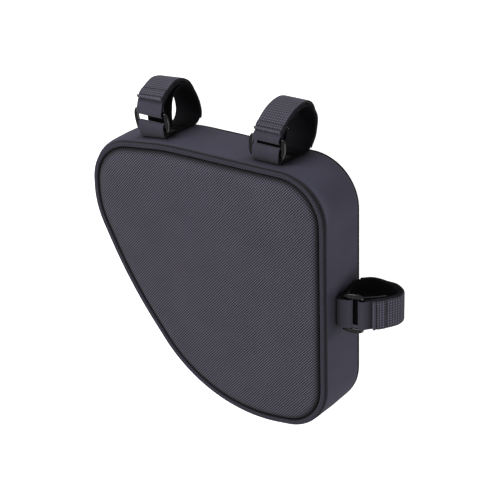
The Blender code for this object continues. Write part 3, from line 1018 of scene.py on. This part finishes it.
def painted_shadow_base(strap, seat, finish):
    """Near-black tape on the gusset inside the loop, from the tab to the strap's root: painted shadow
    of the loop.
    """
    heel = bars(strap)[0].x + BAR_TURN + TAB_FOOT + GAP
    root = strap.root * GUSSET_DEPTH - FOOT_LENGTH - GAP
    depths = [heel + (root - heel) * step / 12 for step in range(13)]
    line = [Vector((depth, GAP + BASE_WALL / 2 + seat.foot(depth))) for depth in depths]
    edit, _ = ribbon(seat, line, 0.00005, 7.0)
    piece = finish_piece(strap.name + "_base_tape", edit, [finish])
    thicken(piece, BASE_WALL, 0.0)


def tail(strap, seat, finishes):
    """The cut end of the inner layer, which hangs behind the tape."""
    line = smooth(course_points(TAILS[strap.name]), RIBBON_STEP)
    edit, lengths = ribbon(seat, line, 0.0001, 9.0)
    tape_piece(strap, "tail", edit, finishes, lengths[-1], rim=1)


def smooth_corners(line):
    """A line cut into short steps, with its straight runs kept."""
    fine = [line[0]]
    for here, there in zip(line, line[1:]):
        pieces = max(1, round((there - here).length / RIBBON_STEP))
        fine += [here.lerp(there, piece / pieces) for piece in range(1, pieces + 1)]
    for _ in range(2):
        triples = zip(fine, fine[1:], fine[2:])
        middle = [(before + 2 * here + after) / 4 for before, here, after in triples]
        fine = fine[:1] + middle + fine[-1:]
    return fine


def lap_section(columns, edge_steps):
    """The webbing's section with round edges, as (across, off) points: first its outer side."""
    radius = LAP_WALL / 2
    flat = WEBBING_WIDTH / 2 - radius
    outer = [(-flat + 2 * flat * step / columns, radius) for step in range(columns + 1)]
    right = []
    for step in range(1, edge_steps):
        angle = pi / 2 - pi * step / edge_steps
        right.append((flat + radius * cos(angle), radius * sin(angle)))
    lower = outer + right
    return lower + [(-across, -off) for across, off in lower]


def lap_relief(across, along, hem, crosswise):
    """How far the webbing's outer side stands over its flat section."""
    first, second = (along, across) if crosswise else (across, along)
    rib, column = (
        0.5 + 0.5 * cos(2 * pi * place / pitch)
        for place, pitch in ((second, WEBBING_RIB), (first, WEBBING_COLUMN))
    )
    woven = COLUMN_RISE * column * (0.45 + 0.55 * rib)
    doubled = 1 - min(max((along - hem.second) / HEM_FADE, 0.0), 1.0)
    pebbles = 0.5 + 0.5 * swell(Vector((across, along, 0.0)), PEBBLE, 3)
    rise = woven * (1 - doubled) + (HEM_RISE + 2 * COLUMN_RISE * pebbles) * doubled
    for row in (hem.first, hem.second):
        rise -= STITCH_SINK * max(0.0, 1 - abs(along - row) / STITCH_GROOVE)
    lip = 1 - (2 * along / LIP_LENGTH - 1) ** 2
    return rise + LIP_RISE * max(lip, 0.0)


def lap_painted_light(along, hem):
    """Painted light on the webbing's outer side: painted shade in the stitches' grooves, a painted
    highlight on its lip.
    """
    tone = 1.0
    for row in (hem.first, hem.second):
        tone -= STITCH_PAINTED_SHADE * max(0.0, 1 - abs(along - row) / STITCH_GROOVE)
    return tone + LIP_PAINTED_HIGHLIGHT * max(1 - abs(2 * along / LIP_LENGTH - 1), 0.0)


def lap(strap, seat, line, finish, thread):
    """Ribbed webbing over the tape, with its folded end sewn down near the ring.

    Its columns of threads run along the top straps and across the side one.
    """
    hem = HEMS[strap.name]
    crosswise = strap.side == "right"
    section = lap_section(60, 6)
    rows = len(line) - 1
    columns = len(section)
    lengths = along_lengths(line)
    widths = along_lengths([Vector(spot) for spot in section + section[:1]])
    total = lengths[-1]

    def place(u, v):
        index = round(v * rows)
        across, off = section[round(u * columns) % columns]
        along = lengths[index]
        nearest = min(along, total - along) / (LAP_WALL / 2)
        taper = sqrt(max(0.0, 1 - (1 - min(nearest, 1.0)) ** 2))
        if off > 0:
            off += lap_relief(across, along, hem, crosswise) * off / (LAP_WALL / 2)
        spot = beside(line, index, -off * taper)
        return seat.place(across, spot.x, spot.y)

    # Painted shade on the webbing's edges and underside, painted light on its outer side.
    def shade(u, v):
        outer = section[round(u * columns) % columns][1] > 0.4 * LAP_WALL
        return lap_painted_light(lengths[round(v * rows)], hem) if outer else EDGE_PAINTED_SHADE

    def flat(u, v):
        spot = (widths[round(u * columns)], lengths[round(v * rows)])
        return spot[::-1] if crosswise else spot

    edit = laid(columns, rows, place, flat, shade)
    agree(edit)
    piece = finish_piece(strap.name + "_lap_webbing", edit, [finish],
                         strap.name + "_lap")
    surface = -LAP_WALL / 2 - HEM_RISE - COLUMN_RISE + STITCH_SINK
    stitches(strap.name + "_lap_stitches", seat, line, lengths, hem[1:], surface, thread)


def stitches(name, seat, line, lengths, rows, off, thread):
    """Rows of stitches across a ribbon, each a short thread that dips at both ends."""
    edit = bmesh.new()
    count = int((WEBBING_WIDTH - STITCH_LENGTH) / STITCH_PITCH)
    for row in rows:
        index = min(range(len(lengths)), key=lambda i: abs(lengths[i] - row))
        for stitch in range(count + 1):
            across = (stitch - count / 2) * STITCH_PITCH
            spot = beside(line, index, off)
            lifted = beside(line, index, 2 * off)
            here = seat.place(across, spot.x, spot.y)
            up = (seat.place(across, lifted.x, lifted.y) - here).normalized()
            side = Vector((seat.along.x, seat.along.y, 0.0))
            ahead = up.cross(side).normalized()
            turn = Matrix((side, ahead, up)).transposed().to_4x4()
            size = Matrix.Diagonal((STITCH_LENGTH / 2, THREAD / 2, THREAD / 2, 1.0))
            bmesh.ops.create_icosphere(edit, subdivisions=2, radius=1.0,
                                       matrix=Matrix.Translation(here) @ turn @ size)
    agree(edit)
    finish_piece(name, edit, [thread])


def ring(strap, seat, finish):
    """Flat moulded ring with two bars, lens-shaped ends and one opening."""
    lower, upper = bars(strap)
    centre = (lower + upper) / 2
    upright = (upper - lower).normalized()
    across = Vector((upright.y, -upright.x))
    inner = RING_OPENING / 2
    end = RING_WIDTH / 2 - inner
    bar_outer = (BAR_PITCH + BAR_HEIGHT) / 2
    bar_inner = (BAR_PITCH - BAR_HEIGHT) / 2
    ends = smooth([Vector((inner + row.out * end, row.height * RING_HEIGHT / 2)) for row in RING_END],
                  RING_STEP)
    right = [Vector((inner, -bar_outer))] + ends + [Vector((inner, bar_outer))]
    left = [Vector((-spot.x, spot.y)) for spot in reversed(right)]
    opening = [(inner, -bar_inner), (inner, bar_inner), (-inner, bar_inner), (-inner, -bar_inner)]

    def position(along, height, depth):
        spot = centre + upright * height + across * depth
        return seat.place(along, spot.x, spot.y)

    edit = bmesh.new()
    for loop in (right + left, opening):
        corners = [edit.verts.new(position(*spot, -RING_THICKNESS / 2)) for spot in loop]
        for index, corner in enumerate(corners):
            edit.edges.new((corner, corners[(index + 1) % len(corners)]))
    bmesh.ops.triangle_fill(edit, use_beauty=True, use_dissolve=False, edges=edit.edges)
    made = bmesh.ops.extrude_face_region(edit, geom=list(edit.faces))
    moved = [item for item in made["geom"] if isinstance(item, bmesh.types.BMVert)]
    through = position(0, 0, RING_THICKNESS / 2) - position(0, 0, -RING_THICKNESS / 2)
    bmesh.ops.translate(edit, verts=moved, vec=through)
    agree(edit)
    straight = through.normalized()
    rims = [edge for edge in edit.edges if edge.calc_face_angle() > RING_RIM
            and abs((edge.verts[0].co - edge.verts[1].co).normalized().dot(straight)) < 0.5]
    bmesh.ops.bevel(edit, geom=rims, offset=RING_EDGE, segments=4, profile=0.5,
                    affect="EDGES", material=-1)
    agree(edit)
    piece = finish_piece(strap.name + "_ring_moulded", edit, [finish],
                         strap.name + "_ring")
    piece.data.set_sharp_from_angle(angle=RING_SHARP)


def strap_set(strap, seat, finishes):
    """All the pieces of one strap."""
    course, left, turned = band_lines(strap, seat)
    # The near-black hook tape paints shade: on the loops' inner sides, the tapes' cut edges, the tails
    # and the base under each loop.
    tape, hooks_painted_shade = finishes["tape"], finishes["hooks_painted_shade"]
    tab(strap, seat, [tape, hooks_painted_shade])
    painted_shadow_base(strap, seat, hooks_painted_shade)
    ring(strap, seat, finishes["acetal"])
    band(strap, seat, course, turned, [tape, hooks_painted_shade, hooks_painted_shade, tape, hooks_painted_shade])
    lap(strap, seat, lap_line(strap, course, left, turned), finishes["webbing"], finishes["thread"])
    tail(strap, seat, [hooks_painted_shade, tape if strap.side == "right" else hooks_painted_shade])


def photo_camera():
    """The photograph's view: the bag upright, 35 degrees to its right and 25 above."""
    turn, tilt, roll = (radians(angle) for angle in (CAMERA_TURN, CAMERA_TILT, CAMERA_ROLL))
    right = Vector((cos(turn), sin(turn), 0))
    up = Vector((-sin(turn) * sin(tilt), cos(turn) * sin(tilt), cos(tilt)))
    back = right.cross(up)
    axes = []
    for axis in (right * cos(roll) + up * sin(roll),
                 up * cos(roll) - right * sin(roll), back):
        axes.append(Vector((axis.x, axis.z, -axis.y)))
    aim = Vector((BODY_LENGTH / 2 - AIM_LEFT, BODY_HEIGHT / 2 - AIM_DOWN, FRONT_SEAM))
    data = bpy.data.cameras.new("camera")
    data.sensor_width = 36.0
    data.lens = CAMERA_LENS
    camera = linked("camera", data)
    stand = Matrix(axes).transposed().to_4x4()
    stand.translation = aim + CAMERA_REACH * axes[2]
    camera.matrix_world = stand
    bpy.context.scene.camera = camera


def softbox(name, place, size, power):
    """A square softbox that faces the bag."""
    data = bpy.data.lights.new(name, "AREA")
    data.shape = "SQUARE"
    data.size = size
    data.energy = power
    lamp = linked(name, data)
    lamp.location = place
    lamp.rotation_euler = (-Vector(place)).to_track_quat("-Z", "Y").to_euler()


def studio():
    """White sweep, even sky and three softboxes.

    The sweep is hidden from diffuse and glossy rays, so it doesn't light the dark cloth.
    """
    photo_camera()
    edit = bmesh.new()
    bmesh.ops.create_grid(edit, x_segments=1, y_segments=1, size=SWEEP_REACH)
    floor = mesh_object("sweep", edit)
    floor.location = (0, 0, -SWEEP_DROP)
    floor.visible_diffuse = False
    floor.visible_glossy = False
    made, _, shader = start_material("white_sweep_paper", Roughness=0.9, Emission_Strength=1.0)
    shader.inputs["Base Color"].default_value = linear("#f2f2f2")
    shader.inputs["Emission Color"].default_value = (1, 1, 1, 1)
    floor.data.materials.append(made)
    world = bpy.data.worlds.new("studio")
    bpy.context.scene.world = world
    world.use_nodes = True
    sky = world.node_tree.nodes["Background"]
    sky.inputs["Color"].default_value = (1, 1, 1, 1)
    sky.inputs["Strength"].default_value = SKY
    for box in SOFTBOXES:
        softbox(*box)
    bpy.context.scene.view_settings.view_transform = "Standard"


def materials():
    """The bag's materials, each by a short name."""
    return {
        # Polyester twill of thick ballistic yarn, matt, with its floats catching the light.
        "twill": cloth("ballistic_polyester_twill", "Object", "#060508", "#858196", 30.0, twill_weave,
                       0.0003, 0.8, 0.3, 0.1),
        # The same twill woven finer, cut aslant and folded over the seam.
        "binding": cloth("folded_polyester_twill", "UV", "#1d1c25", "#5f5c6e", 60.0, binding_weave,
                         0.00015, 0.8, 0.25, 0.1),
        # Nylon taffeta, coated, which leaves it smooth and nearly even.
        "nylon": cloth("coated_nylon", "Object", "#434251", "#4e4c5e", 25.0, nylon_weave,
                       0.00003, 0.6, 0.25, 0.05),
        # Knitted loop tape, brushed up into a short pile.
        "tape": cloth("brushed_loop_tape", "Object", "#2c2b36", "#4b4858", 90.0, loop_pile,
                      0.0001, 0.85, 0.3, 0.2),
        # Hook tape, made near-black to paint the shade inside the loops, on the tapes' cut edges, on
        # the tails and under the loops.
        "hooks_painted_shade": cloth("hook_tape", "Object", "#09090c", "#151419", 90.0, loop_pile,
                       0.0002, 0.8, 0.15),
        # Nylon webbing woven in thick columns of threads.
        "webbing": cloth("ribbed_nylon_webbing", "UV", "#1a1920", "#6c697b", 90.0, webbing_weave,
                         0.0001, 0.75, 0.3, 0.15),
        "acetal": moulded_acetal(),
        "thread": bonded_thread(),
    }


def main():
    studio()
    body = Body()
    coarse, middles = outline(COARSE_STEP, COARSE_TURN)
    rises = puff_heights(coarse, middles)
    finishes = materials()
    panel("front", body, FRONT_SEAM, FRONT_CROWN, 1, finishes["twill"])
    panel("back", body, BACK_CROWN, BACK_CROWN, -1, finishes["twill"])
    piping("front", body, FRONT_SEAM, 1, finishes["binding"])
    piping("back", body, BACK_CROWN, -1, finishes["binding"])
    seats = [(strap, Seat(strap, coarse, rises)) for strap in STRAPS]
    gusset(body, seats, finishes["nylon"])
    for strap, seat in seats:
        strap_set(strap, seat, finishes)


main()
